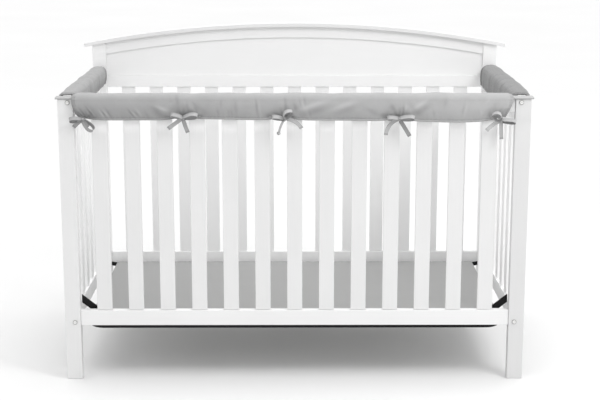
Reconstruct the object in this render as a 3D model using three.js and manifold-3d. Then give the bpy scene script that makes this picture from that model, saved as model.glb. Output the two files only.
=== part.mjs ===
// A crib with padded cloth covers on its front rail and both side rails. Five bows tie the front cover.
// Millimetres, +X to the right, +Y to the back, +Z up. While it is built, z = 0 is the floor and y = 0 is the
// front face of the front posts. The group is then moved so that its origin is on the floor, under the middle.
import * as THREE from "three";
import { mergeVertices } from "three/addons/utils/BufferGeometryUtils.js";
import Module from "manifold-3d";

const wasm = await Module();
wasm.setup();

const { PI, abs, cos, exp, max, min, sin, sqrt } = Math;
const { clamp, degToRad, lerp, smoothstep } = THREE.MathUtils;

// Driving dimensions of the crib.
const FIT = 0.3; // gap between pieces that touch
const CRIB_WIDTH = 1410; // over the posts
const BACK_FACE = 731; // front face of the back posts
const POST = { width: 47, depth: 30 };
const CAP = { thickness: 6.5, overhang: 5, endOverhang: 6, nose: 3.2 };
const FRONT_RAIL = { thickness: 22, low: 833, high: 873 };
const SIDE_RAIL = { thickness: 26, low: 833, high: 880, round: 4 };
const BASE_RAIL = { thickness: 22, low: 172, high: 220 };
const SLAT = { width: 46, thickness: 14, tenon: 8 };
const FRONT_SLATS = 13;
const SIDE_SLATS = 7;
const ARCH = { top: 1026, radius: 3870 }; // underside of the headboard's moulding
const MOULDING = { thickness: 12, halfLength: 732, depth: 50 };
const HEADBOARD = { railHeight: 38, railThickness: 22, panelThickness: 12, low: 815, panelLow: 855 };
const SUPPORT = { low: 152, bar: 22, inset: 26, endInset: 20, corner: 46, crossBars: 3, lap: 1 };
const BOARD = { thickness: 12, inset: 2, corner: 8 }; // lies on the support
const HANGER = { thickness: 4, low: 162, run: 125 };
const HANGER_TOPS = { front: { high: 262, width: 26 }, back: { high: 186, width: 14 } };
const BOLT = { radius: 7, thickness: 2.2, fromCentre: 675, heights: [183, 863] };

// Driving dimensions of the covers. A cover's own frame runs along its rail, with `minus` and `plus` the
// flaps on the two sides of the rail. `edges` gives the height of each flap's lower edge along the rail.
const CLOTH = 4; // padded cloth, both faces and the filling
const FRONT_COVER = {
  low: -662,
  high: 650,
  halfWidth: 31,
  corner: 18,
  top: 887.5,
  crown: 0.7,
  bulge: 5,
  tuck: 7,
  skew: 0,
  drop: 0,
  open: 0,
  pinch: 0,
  frontEnd: -1,
  steps: 30,
  ends: [
    { end: -1, side: -1, drawnIn: 20, power: 1.8 },
    { end: 1, side: -1, drawnIn: 22, power: 1.1 },
    { end: -1, side: 1, drawnIn: 42, power: 1.8 },
    { end: 1, side: 1, drawnIn: 42, power: 1.8 },
  ],
  edges: [
    { at: -662, minus: 816, plus: 812 },
    { at: -610, minus: 811, plus: 809 },
    { at: -400, minus: 811, plus: 807 },
    { at: -265, minus: 814, plus: 810 },
    { at: -60, minus: 811, plus: 808 },
    { at: 110, minus: 810, plus: 807 },
    { at: 300, minus: 808, plus: 810 },
    { at: 480, minus: 804, plus: 808 },
    { at: 596, minus: 806, plus: 809 },
    { at: 650, minus: 817, plus: 812 },
  ],
  folds: [
    { at: -608, side: -1, hang: 0.55, slant: 22, width: 11, reach: 0.42, depth: 4 },
    { at: -562, side: -1, hang: 0.6, slant: 18, width: 10, reach: 0.36, depth: 3 },
    { at: -368, side: -1, hang: 0.6, slant: -46, width: 13, reach: 0.4, depth: 3 },
    { at: -282, side: -1, hang: 0.5, slant: 60, width: 14, reach: 0.5, depth: 3 },
    { at: 10, side: -1, hang: 0.6, slant: 40, width: 13, reach: 0.45, depth: 3 },
    { at: 278, side: -1, hang: 0.6, slant: -40, width: 13, reach: 0.4, depth: 3 },
    { at: 356, side: -1, hang: 0.55, slant: 50, width: 14, reach: 0.45, depth: 3 },
    { at: 585, side: -1, hang: 0.6, slant: -34, width: 12, reach: 0.4, depth: 4 },
    { at: -480, side: 1, hang: 0.6, slant: 30, width: 14, reach: 0.5, depth: 3 },
    { at: 150, side: 1, hang: 0.6, slant: -30, width: 14, reach: 0.5, depth: 3 },
  ],
};
const SIDE_COVER = {
  bulge: 2,
  tuck: 4,
  skew: 6, // how far the end next to the front rail runs on at the outside
  open: 0, // how far the inner flap stands off
  pinch: 0, // how far the end next to the front rail is drawn in at the outside
  steps: 21,
};
const LEFT_COVER = {
  ...SIDE_COVER,
  low: 46,
  high: 722,
  halfWidth: 27,
  corner: 17,
  top: 888,
  crown: 1.5,
  drop: 3, // how far the end next to the front rail sinks
  frontEnd: -1,
  ends: [
    { end: -1, side: -1, drawnIn: 6, power: 2.3 },
    { end: 1, side: -1, drawnIn: 3, power: 2.3 },
    { end: -1, side: 1, drawnIn: 6, power: 2.3 },
    { end: 1, side: 1, drawnIn: 6, power: 2.3 },
  ],
  edges: [
    { at: 46, minus: 822, plus: 820 },
    { at: 300, minus: 825, plus: 822 },
    { at: 722, minus: 827, plus: 824 },
  ],
  folds: [
    { at: 262, side: -1, hang: 0.4, slant: -18, width: 16, reach: 0.6, depth: 3 },
    { at: 478, side: -1, hang: 0.45, slant: 14, width: 18, reach: 0.6, depth: 3 },
    { at: 570, side: -1, hang: 0.6, slant: 10, width: 14, reach: 0.5, depth: 2.5 },
    { at: 390, side: 1, hang: 0.5, slant: 16, width: 18, reach: 0.6, depth: 3 },
  ],
};
const RIGHT_COVER = {
  ...SIDE_COVER,
  low: -722,
  high: -46,
  halfWidth: 31,
  corner: 24,
  top: 890,
  crown: 6,
  drop: 9,
  open: 7,
  pinch: 4,
  frontEnd: 1,
  ends: [
    { end: -1, side: -1, drawnIn: 0, power: 2.3 },
    { end: 1, side: -1, drawnIn: 6, power: 2.3 },
    { end: -1, side: 1, drawnIn: 6, power: 2.3 },
    { end: 1, side: 1, drawnIn: 6, power: 2.3 },
  ],
  edges: [
    { at: -722, minus: 822, plus: 822 },
    { at: -420, minus: 820, plus: 823 },
    { at: -120, minus: 828, plus: 822 },
    { at: -46, minus: 848, plus: 824 },
  ],
  folds: [
    { at: -417, side: -1, hang: 0.4, slant: 16, width: 18, reach: 0.6, depth: 3 },
    { at: -610, side: -1, hang: 0.5, slant: -12, width: 16, reach: 0.5, depth: 2.5 },
    { at: -190, side: 1, hang: 0.5, slant: 14, width: 18, reach: 0.6, depth: 3 },
  ],
};

// The ties, from left to right. Angles are in degrees in the front view, from +X towards +Z. A loop's roll is 0
// where the ribbon's face is seen and 90 where the ring is. A negative roll brings the other strand forward. A
// loop's middle stands forward by its `bow`, and a tail turns by `bend` along its length.
const RIBBON = { width: 12, thickness: 1.4, knot: 6.5 };
const TIE_PULL = { spread: 36, power: 2 }; // power: how close to the lower edge the pull stays
const KNOT_DEPTH = -13; // y of the knots' middle
const TIES = [
  {
    x: -630,
    z: 814,
    strap: -636,
    lift: 1,
    pull: 10.5,
    loops: [
      { angle: 178, length: 38, belly: 8, roll: -36, lean: 20 },
      { angle: -44, length: 45, belly: 10.5, roll: -30, lean: 14 },
    ],
    tails: [
      { angle: 212, bend: 18, length: 35, roll: 0, lean: 2 },
      { angle: -56, bend: 4, length: 28, roll: 10, lean: -4 },
    ],
  },
  {
    x: -332,
    z: 819,
    strap: -339,
    lift: 5,
    pull: 11.5,
    loops: [
      { angle: 157, length: 41, belly: 7, roll: -28, lean: 33 },
      { angle: 14, length: 48, belly: 9, roll: 40, lean: 22 },
    ],
    tails: [
      { angle: 214, bend: 3, length: 54, roll: 8, lean: 5 },
      { angle: -74, bend: 6, length: 46, roll: 0, lean: 4 },
    ],
  },
  {
    x: -31,
    z: 816,
    strap: -34,
    lift: 5,
    pull: 10,
    loops: [
      { angle: 167, length: 37, belly: 7, roll: -26, lean: 20 },
      { angle: 57, length: 40, belly: 11, roll: 52, lean: 36 },
    ],
    tails: [
      { angle: 236, bend: 26, length: 50, roll: 58, lean: 4 },
      { angle: 2, bend: -62, length: 62, roll: 24, lean: 8 },
    ],
  },
  {
    x: 310,
    z: 816,
    strap: 324,
    lift: 5,
    pull: 10.8,
    loops: [
      { angle: 170, length: 39, belly: 7, roll: -24, lean: 28 },
      { angle: 9, length: 49, belly: 8, roll: 38, lean: 27 },
    ],
    tails: [
      { angle: 196, bend: 70, length: 66, roll: 10, lean: 8 },
      { angle: -56, bend: -4, length: 61, roll: 6, lean: 4 },
    ],
  },
  {
    x: 613,
    z: 811,
    strap: 617,
    lift: 4,
    pull: 9,
    loops: [
      { angle: 134, length: 34, belly: 11, roll: -62, lean: 22, bow: 10 },
      { angle: -5, length: 43, belly: 5, roll: 42, lean: 8 },
    ],
    tails: [
      { angle: 200, bend: 30, length: 53, roll: 4, lean: 6 },
      { angle: -88, bend: 1, length: 56, roll: 10, lean: 2 },
    ],
  },
];

// Materials.
const PAINT = new THREE.MeshStandardMaterial({ color: 0xf1f0ee, roughness: 0.38, metalness: 0 });
const FABRIC = new THREE.MeshStandardMaterial({ color: 0xb2b2b3, roughness: 0.95, metalness: 0 });
const STEEL = new THREE.MeshStandardMaterial({ color: 0x1b1b1d, roughness: 0.5, metalness: 0.4 });
const LAMINATE = new THREE.MeshStandardMaterial({ color: 0xa2a2a1, roughness: 0.7, metalness: 0 });
const PLATED = new THREE.MeshStandardMaterial({ color: 0xdddddb, roughness: 0.4, metalness: 0.3 });

// Values that follow from the driving dimensions.
const HALF_WIDTH = CRIB_WIDTH / 2;
const POST_INNER = HALF_WIDTH - POST.width;
const SIDE_CENTRE = HALF_WIDTH - POST.width / 2;
const FRONT_CENTRE = POST.depth / 2;
const BACK_CENTRE = BACK_FACE + POST.depth / 2;
const SUPPORT_END = POST_INNER - SUPPORT.endInset;
const SUPPORT_FRONT = FRONT_CENTRE + SUPPORT.inset;
const SUPPORT_BACK = BACK_CENTRE - SUPPORT.inset;

const crib = new THREE.Group();

function add(name, geometry, material) {
  const mesh = new THREE.Mesh(geometry, material);
  mesh.name = name;
  crib.add(mesh);
  return mesh;
}

// A box between two opposite corners.
function boxBetween([x0, y0, z0], [x1, y1, z1]) {
  const box = new THREE.BoxGeometry(x1 - x0, y1 - y0, z1 - z0);
  return box.translate((x0 + x1) / 2, (y0 + y1) / 2, (z0 + z1) / 2);
}

function roundedRectangle(x0, y0, x1, y1, radius) {
  const shape = new THREE.Shape();
  shape.absarc(x1 - radius, y0 + radius, radius, -PI / 2, 0);
  shape.absarc(x1 - radius, y1 - radius, radius, 0, PI / 2);
  shape.absarc(x0 + radius, y1 - radius, radius, PI / 2, PI);
  shape.absarc(x0 + radius, y0 + radius, radius, PI, 1.5 * PI);
  return shape;
}

// Extrudes an outline drawn in X and Z from y = front to y = back.
function extrudeAlongY(shape, front, back, curveSegments = 4) {
  const solid = new THREE.ExtrudeGeometry(shape, { depth: back - front, bevelEnabled: false, curveSegments });
  return solid.rotateX(PI / 2).translate(0, back, 0);
}

// Extrudes an outline drawn in Y and Z from x = left to x = right.
function extrudeAlongX(shape, left, right, curveSegments = 4) {
  const solid = new THREE.ExtrudeGeometry(shape, { depth: right - left, bevelEnabled: false, curveSegments });
  return solid.rotateX(PI / 2).rotateZ(PI / 2).translate(left, 0, 0);
}

// Extrudes an outline drawn in X and Y from z = low to z = high.
function extrudeUp(shape, low, high, curveSegments = 8) {
  const solid = new THREE.ExtrudeGeometry(shape, { depth: high - low, bevelEnabled: false, curveSegments });
  return solid.translate(0, 0, low);
}

function solidFrom(geometry) {
  const source = geometry.index ? geometry.toNonIndexed() : geometry;
  const bare = new THREE.BufferGeometry().setAttribute("position", source.getAttribute("position"));
  const merged = mergeVertices(bare, 1e-4);
  const triVerts = new Uint32Array(merged.index.array);
  const vertProperties = merged.getAttribute("position").array;
  return new wasm.Manifold(new wasm.Mesh({ numProp: 3, vertProperties, triVerts }));
}

// Joins geometries that overlap into one closed body.
function join(geometries) {
  const mesh = geometries.map(solidFrom).reduce((whole, piece) => whole.add(piece)).getMesh();
  const joined = new THREE.BufferGeometry();
  joined.setAttribute("position", new THREE.BufferAttribute(mesh.vertProperties, 3));
  return joined.setIndex(new THREE.BufferAttribute(mesh.triVerts, 1));
}

// A closed body through equal rings of points. The second half of a ring runs back along its first half, so
// each end is closed by a ladder of faces between the two halves.
function loft(rings) {
  const size = rings[0].length;
  const rungs = size / 2;
  const index = [];
  const quad = (a, b, c, d) => index.push(a, b, c, a, c, d);
  for (let i = 0; i + 1 < rings.length; i++) {
    for (let k = 0; k < size; k++) {
      const next = (k + 1) % size;
      quad(i * size + k, i * size + next, (i + 1) * size + next, (i + 1) * size + k);
    }
  }
  const last = (rings.length - 1) * size;
  for (let k = 0; k + 1 < rungs; k++) {
    const across = size - 1 - k;
    quad(k, across, across - 1, k + 1);
    quad(last + k, last + k + 1, last + across - 1, last + across);
  }
  return new THREE.BufferGeometry().setFromPoints(rings.flat()).setIndex(index);
}

// The underside of the moulding, as a height over the floor.
function archHeight(x, below = 0) {
  const radius = ARCH.radius - below;
  return ARCH.top - ARCH.radius + sqrt(radius * radius - x * x);
}

// The arch from x = start to x = end, `below` the underside of the moulding.
function archPoints(start, end, below) {
  const steps = 24;
  const points = [];
  for (let i = 0; i <= steps; i++) {
    const x = lerp(start, end, i / steps);
    points.push(new THREE.Vector2(x, archHeight(x, below)));
  }
  return points;
}

// A band between two arches, from x = -end to x = end.
function archBand(end, lower, upper) {
  return new THREE.Shape([...archPoints(-end, end, lower), ...archPoints(end, -end, upper)]);
}

// The crib.
function addPosts() {
  for (const [side, out] of [["left", -1], ["right", 1]]) {
    const x0 = min(out * POST_INNER, out * HALF_WIDTH);
    const x1 = x0 + POST.width;
    add(`post_front_${side}`, boxBetween([x0, 0, 0], [x1, POST.depth, FRONT_RAIL.high - FIT]), PAINT);
    const outline = new THREE.Shape().moveTo(x0, 0).lineTo(x1, 0);
    outline.lineTo(x1, archHeight(x1, FIT)).lineTo(x0, archHeight(x0, FIT));
    add(`post_back_${side}`, extrudeAlongY(outline, BACK_FACE, BACK_FACE + POST.depth), PAINT);
  }
}

function addBolts() {
  let number = 1;
  for (const out of [-1, 1]) {
    for (const height of BOLT.heights) {
      const head = new THREE.CylinderGeometry(BOLT.radius - 1, BOLT.radius, BOLT.thickness, 20);
      head.rotateX(PI);
      const mesh = add(`bolt_${number}`, head, PLATED);
      mesh.position.set(out * BOLT.fromCentre, -FIT - BOLT.thickness / 2, height);
      number += 1;
    }
  }
}

function addFrontRails() {
  const { thickness, overhang, endOverhang, nose } = CAP;
  const capLow = FRONT_RAIL.high;
  const profile = roundedRectangle(-overhang, capLow, POST.depth + overhang, capLow + thickness, nose);
  const end = HALF_WIDTH + endOverhang;
  add("front_cap", extrudeAlongX(profile, -end, end), PAINT);
  addRail("front_top_rail", FRONT_RAIL, FRONT_CENTRE);
  addRail("front_bottom_rail", BASE_RAIL, FRONT_CENTRE);
}

// A plain rail between two posts, centred on y = centre.
function addRail(name, { thickness, low, high }, centre) {
  const end = POST_INNER - FIT;
  add(name, boxBetween([-end, centre - thickness / 2, low], [end, centre + thickness / 2, high - FIT]), PAINT);
}

// An even row of slats from x = -POST_INNER to POST_INNER.
function addSlats(prefix, centre, low, high) {
  const gap = (2 * POST_INNER - FRONT_SLATS * SLAT.width) / (FRONT_SLATS + 1);
  const front = centre - SLAT.thickness / 2;
  for (let i = 0; i < FRONT_SLATS; i++) {
    const x0 = -POST_INNER + gap + i * (SLAT.width + gap);
    const slat = boxBetween([x0, front, low + FIT], [x0 + SLAT.width, front + SLAT.thickness, high - FIT]);
    add(`${prefix}_${String(i + 1).padStart(2, "0")}`, slat, PAINT);
  }
}

function addHeadboard() {
  const { railHeight, railThickness, panelThickness, low, panelLow } = HEADBOARD;
  const end = POST_INNER - FIT;
  const depths = (thickness) => [BACK_CENTRE - thickness / 2, BACK_CENTRE + thickness / 2];

  const moulding = archBand(MOULDING.halfLength, 0, -MOULDING.thickness);
  add("headboard_moulding", extrudeAlongY(moulding, ...depths(MOULDING.depth)), PAINT);

  const rail = archBand(end, railHeight, FIT);
  add("headboard_top_rail", extrudeAlongY(rail, ...depths(railThickness)), PAINT);

  const foot = [new THREE.Vector2(-end, panelLow), new THREE.Vector2(end, panelLow)];
  const panel = new THREE.Shape([...foot, ...archPoints(end, -end, railHeight + FIT)]);
  add("headboard_panel", extrudeAlongY(panel, ...depths(panelThickness)), PAINT);

  addRail("headboard_lower_rail", { thickness: railThickness, low, high: panelLow }, BACK_CENTRE);
  addRail("back_bottom_rail", BASE_RAIL, BACK_CENTRE);
}

// Each end panel is glued up as one: two rails with slats let into them.
function addEndPanels() {
  const front = POST.depth + FIT;
  const back = BACK_FACE - FIT;
  const half = SIDE_RAIL.thickness / 2;
  const gap = (back - front - SIDE_SLATS * SLAT.width) / (SIDE_SLATS + 1);
  for (const [side, out] of [["left", -1], ["right", 1]]) {
    const x = out * SIDE_CENTRE;
    const top = roundedRectangle(x - half, SIDE_RAIL.low, x + half, SIDE_RAIL.high, SIDE_RAIL.round);
    const baseHalf = BASE_RAIL.thickness / 2;
    const behindCap = front + CAP.overhang;
    const underCap = [x + half, behindCap + SIDE_RAIL.round, FRONT_RAIL.high - FIT];
    const pieces = [
      extrudeAlongY(top, behindCap, back),
      boxBetween([x - half, front, SIDE_RAIL.low + SIDE_RAIL.round], underCap),
      boxBetween([x - baseHalf, front, BASE_RAIL.low], [x + baseHalf, back, BASE_RAIL.high]),
    ];
    for (let i = 0; i < SIDE_SLATS; i++) {
      const y0 = front + gap + i * (SLAT.width + gap);
      const slatLow = [x - SLAT.thickness / 2, y0, BASE_RAIL.high - SLAT.tenon];
      const slatHigh = [x + SLAT.thickness / 2, y0 + SLAT.width, SIDE_RAIL.low + SLAT.tenon];
      pieces.push(boxBetween(slatLow, slatHigh));
    }
    add(`end_panel_${side}`, join(pieces), PAINT);
  }
}

// A rounded steel frame with cross bars let into it, and the board that lies on it.
function addMattressSupport() {
  const { low, bar, corner, crossBars, lap } = SUPPORT;
  const high = low + bar;
  const end = SUPPORT_END;
  const inside = (inset, round) =>
    roundedRectangle(inset - end, SUPPORT_FRONT + inset, end - inset, SUPPORT_BACK - inset, round);
  const outline = inside(0, corner);
  outline.holes.push(inside(bar, corner - bar));
  const pieces = [extrudeUp(outline, low, high)];
  for (let i = 1; i <= crossBars; i++) {
    const left = lerp(-end, end - bar, i / (crossBars + 1));
    const barLow = [left, SUPPORT_FRONT + bar - lap, low + lap];
    pieces.push(boxBetween(barLow, [left + bar, SUPPORT_BACK - bar + lap, high - lap]));
  }
  add("mattress_support", join(pieces), STEEL);

  const boardLow = high + FIT;
  const board = inside(BOARD.inset, BOARD.corner);
  add("support_board", extrudeUp(board, boardLow, boardLow + BOARD.thickness), LAMINATE);
}

// A sloping steel strap at each corner, from the support's long bar up to the post.
function addHangers() {
  const { thickness, low, run } = HANGER;
  const faces = { front: SUPPORT_FRONT - FIT - thickness, back: SUPPORT_BACK + FIT };
  for (const [side, out] of [["left", -1], ["right", 1]]) {
    const post = out * (POST_INNER - FIT);
    for (const [row, { high, width }] of Object.entries(HANGER_TOPS)) {
      const foot = (width * run) / (high - low);
      const outline = new THREE.Shape().moveTo(post, high).lineTo(post - out * run, low);
      outline.lineTo(post - out * (run - foot), low).lineTo(post, high - width);
      add(`hanger_${row}_${side}`, extrudeAlongY(outline, faces[row], faces[row] + thickness), STEEL);
    }
  }
}

// The covers.

// The height of one flap's lower edge, eased between the rows of the cover's table.
function edgeHeight(edges, at, flap) {
  const next = edges.findIndex((row) => row.at >= at);
  if (next <= 0) return edges[next === 0 ? 0 : edges.length - 1][flap];
  const before = edges[next - 1];
  const after = edges[next];
  return lerp(before[flap], after[flap], smoothstep(at, before.at, after.at));
}

// A point of a cover. `along` runs 0 to 1 from end to end, and `around` runs -1 to 1 from one lower edge over
// the rail to the other. `depth` is measured inwards from the outer face.
function coverPoint(cover, along, around, depth) {
  const side = around < 0 ? -1 : 1;
  const at = lerp(cover.low, cover.high, along);
  const flat = cover.halfWidth - cover.corner;
  const arc = (PI / 2) * cover.corner;
  const fall = cover.top - cover.corner - edgeHeight(cover.edges, at, side < 0 ? "minus" : "plus");
  const reach = abs(around) * (flat + arc + fall);
  const turn = clamp((reach - flat) / cover.corner, 0, PI / 2);
  const hang = max(0, (reach - flat - arc) / fall);

  const nearEnd = (end) => (end < 0 ? 1 - along : along) ** 12;
  const nearFront = nearEnd(cover.frontEnd);
  const tuck = side < 0 ? cover.tuck - cover.open : cover.tuck;
  let offset = cover.crown * cos((around * PI) / 2) + cover.bulge * sin(PI * hang) - tuck * hang ** 2;
  let height = cover.top - cover.corner * (1 - cos(turn)) - hang * fall;
  for (const tie of cover.ties ?? []) {
    const near = exp(-(((at - tie.x) / TIE_PULL.spread) ** 2));
    offset -= tie.pull * near * hang ** TIE_PULL.power;
    height += tie.lift * near * hang;
  }
  for (const fold of cover.folds) {
    if (fold.side !== side) continue;
    const rise = hang - fold.hang;
    const aside = (at - fold.at - fold.slant * rise) / fold.width;
    offset -= fold.depth * exp(-(aside ** 2) - (rise / fold.reach) ** 2);
  }
  const pinch = side > 0 ? cover.pinch * nearFront * sin(turn) : 0;
  const across = min(reach, flat) + sin(turn) * (cover.corner + offset - depth) - pinch;
  height -= cover.drop * nearFront;
  let shift = cover.skew * cover.frontEnd * nearFront * side * (across / cover.halfWidth);
  for (const row of cover.ends) {
    if (row.side === side) shift -= row.end * row.drawnIn * hang ** row.power * nearEnd(row.end);
  }
  return new THREE.Vector3(at + shift, side * across, height + cos(turn) * (offset - depth));
}

// Places along a cover: even steps, with closer ones about each tie.
function placesAlong(cover) {
  const span = cover.high - cover.low;
  const places = [];
  for (let i = 0; i <= cover.steps; i++) places.push(i / cover.steps);
  for (const tie of cover.ties ?? []) {
    for (const step of [-40, -24, -10, 0, 10, 24, 40]) {
      const place = (tie.x + step - cover.low) / span;
      if (place > 0 && place < 1) places.push(place);
    }
  }
  const closest = 7 / span;
  const sorted = places.sort((a, b) => a - b);
  return sorted.filter((place, i) => i === 0 || place === 1 || place - sorted[i - 1] > closest);
}

// Places around a cover: few on the flat top, more on the corners and the flaps.
function placesAround(cover) {
  const { halfWidth, corner, top, edges } = cover;
  const flat = halfWidth - corner;
  const arc = (PI / 2) * corner;
  const half = flat + arc + top - corner - edges[0].minus;
  const oneSide = [];
  for (let i = 0; i < 4; i++) oneSide.push((flat + (arc * i) / 4) / half);
  for (let i = 0; i <= 5; i++) oneSide.push(lerp((flat + arc) / half, 1, i / 5));
  return [...oneSide.toReversed().map((place) => -place), 0, ...oneSide];
}

function coverGeometry(cover) {
  const around = placesAround(cover);
  const rings = placesAlong(cover).map((along) => [
    ...around.toReversed().map((place) => coverPoint(cover, along, place, 0)),
    ...around.map((place) => coverPoint(cover, along, place, CLOTH)),
  ]);
  return loft(rings);
}

function addCovers() {
  add("front_cover", coverGeometry({ ...FRONT_COVER, ties: TIES }), FABRIC).position.y = FRONT_CENTRE;
  const left = add("left_cover", coverGeometry(LEFT_COVER), FABRIC);
  left.rotation.z = PI / 2;
  left.position.x = -SIDE_CENTRE;
  const right = add("right_cover", coverGeometry(RIGHT_COVER), FABRIC);
  right.rotation.z = -PI / 2;
  right.position.x = SIDE_CENTRE;
}

// The ties.

// A strip of ribbon through points, its width laid along the directions in `widths`.
function ribbon(points, widths) {
  const rings = points.map((point, i) => {
    const ahead = points[min(i + 1, points.length - 1)];
    const behind = points[max(i - 1, 0)];
    const tangent = ahead.clone().sub(behind).normalize();
    const normal = tangent.clone().cross(widths[i]).normalize();
    const width = normal.clone().cross(tangent).multiplyScalar(RIBBON.width / 2);
    normal.multiplyScalar(RIBBON.thickness / 2);
    const corner = (w, n) => point.clone().addScaledVector(width, w).addScaledVector(normal, n);
    return [corner(1, 1), corner(-1, 1), corner(-1, -1), corner(1, -1)];
  });
  return loft(rings);
}

// The directions of a ribbon that sets out at an angle: outwards, aside in its own plane, and across its face.
function ribbonFrame(angle, lean, roll) {
  const out = new THREE.Vector3(cos(angle) * cos(lean), -sin(lean), sin(angle) * cos(lean));
  const upright = new THREE.Vector3(-sin(angle), 0, cos(angle));
  const forward = out.clone().cross(upright).normalize();
  const aside = forward.multiplyScalar(cos(roll)).addScaledVector(upright, sin(roll));
  return { out, aside, across: out.clone().cross(aside) };
}

function tieLoop({ angle, length, belly, roll, lean, bow = 0 }) {
  const { out, aside, across } = ribbonFrame(degToRad(angle), degToRad(lean), degToRad(roll));
  const steps = 12;
  const points = [];
  for (let i = 0; i <= steps; i++) {
    const turn = (PI * i) / steps;
    const point = out.clone().multiplyScalar(length * sin(turn));
    point.addScaledVector(aside, belly * sin(2 * turn) + RIBBON.thickness * cos(turn));
    point.y -= 4 * bow * sin(turn) * (1 - sin(turn));
    points.push(point);
  }
  return ribbon(points, points.map(() => across));
}

function tieTail({ angle, bend, length, roll, lean }) {
  const steps = 6;
  const points = [new THREE.Vector3()];
  const widths = [];
  for (let i = 0; i <= steps; i++) {
    const frame = ribbonFrame(degToRad(angle + (bend * i) / steps), degToRad(lean), degToRad(roll));
    widths.push(frame.across);
    if (i < steps) points.push(points[i].clone().addScaledVector(frame.out, length / steps));
  }
  return ribbon(points, widths);
}

// The part of a tie that runs under the rail, from the knot to the back flap's lower edge.
function tieStrap({ x, z, strap, lift, pull }) {
  const edge = FRONT_COVER.halfWidth - FRONT_COVER.tuck - pull - CLOTH / 2;
  const rim = edgeHeight(FRONT_COVER.edges, x, "plus") + lift - RIBBON.thickness / 2;
  const side = strap - x;
  const route = new THREE.CatmullRomCurve3([
    new THREE.Vector3(0, 0, -3),
    new THREE.Vector3(side / 2, 8, -8),
    new THREE.Vector3(side, FRONT_CENTRE - KNOT_DEPTH, -11),
    new THREE.Vector3(side, FRONT_CENTRE - KNOT_DEPTH + edge - 2, rim - z - 5),
    new THREE.Vector3(side, FRONT_CENTRE - KNOT_DEPTH + edge, rim - z - 1),
  ]);
  const points = route.getPoints(8);
  return ribbon(points, points.map(() => new THREE.Vector3(1, 0, 0)));
}

function addTies() {
  TIES.forEach((tie, i) => {
    const knot = new THREE.SphereGeometry(RIBBON.knot, 9, 6).scale(1, 0.8, 0.95);
    const pieces = [knot, ...tie.loops.map(tieLoop), ...tie.tails.map(tieTail), tieStrap(tie)];
    add(`tie_${i + 1}`, join(pieces), FABRIC).position.set(tie.x, KNOT_DEPTH, tie.z);
  });
}

addPosts();
addBolts();
addFrontRails();
addSlats("front_slat", FRONT_CENTRE, BASE_RAIL.high, FRONT_RAIL.low);
addHeadboard();
addSlats("back_slat", BACK_CENTRE, BASE_RAIL.high, HEADBOARD.low);
addEndPanels();
addMattressSupport();
addHangers();
addCovers();
addTies();

// The origin goes to the floor, under the middle of the whole.
const box = new THREE.Box3().setFromObject(crib);
const middle = box.getCenter(new THREE.Vector3());
crib.position.set(-middle.x, -middle.y, -box.min.z);

export default crib;
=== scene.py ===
"""A crib with padded cloth covers on its front and side rails, and five bows.

Metres, +X to the right, +Y to the back, +Z up. A cover's own frame runs along its rail (`at`), across it
and up.
"""
import math

import bpy
import numpy as np
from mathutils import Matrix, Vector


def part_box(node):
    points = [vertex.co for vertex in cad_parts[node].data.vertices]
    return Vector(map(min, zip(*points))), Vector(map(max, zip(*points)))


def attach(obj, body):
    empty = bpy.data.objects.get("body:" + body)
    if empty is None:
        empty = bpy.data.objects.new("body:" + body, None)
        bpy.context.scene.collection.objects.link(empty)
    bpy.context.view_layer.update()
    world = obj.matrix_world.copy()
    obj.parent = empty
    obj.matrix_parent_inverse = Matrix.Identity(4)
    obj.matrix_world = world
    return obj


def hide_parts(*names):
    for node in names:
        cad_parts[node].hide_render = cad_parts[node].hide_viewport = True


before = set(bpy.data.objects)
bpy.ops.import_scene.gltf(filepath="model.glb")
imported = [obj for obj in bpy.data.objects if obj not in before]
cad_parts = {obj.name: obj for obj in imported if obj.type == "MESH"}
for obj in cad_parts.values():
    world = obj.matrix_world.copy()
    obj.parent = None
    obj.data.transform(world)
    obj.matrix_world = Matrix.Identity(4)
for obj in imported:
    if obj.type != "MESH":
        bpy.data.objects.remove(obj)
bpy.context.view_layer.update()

BODY = "root"
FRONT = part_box("post_front_left")[0][1]  # front face of the front posts
RAIL_CENTRE = 0.015  # from there back to the middle of the front rail
SIDE_CENTRE = 0.6815  # from the middle of the crib to the middle of a side rail


# Formulas and tables.
def bell(value):
    """A bump of height 1 at 0, faded to about a third at 1."""
    return np.exp(-(value**2))


def ease(share):
    return share * share * (3 - 2 * share)


def around_ring(sides):
    """The angles of a ring's points, half a step from the start."""
    return 2 * math.pi * (np.arange(sides) + 0.5) / sides


def unit(vectors):
    return vectors / np.linalg.norm(vectors, axis=-1, keepdims=True)


def table(columns, *rows):
    """Rows of numbers as dictionaries with the columns' names."""
    names = columns.split()
    return [dict(zip(names, row)) for row in rows]


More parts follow.
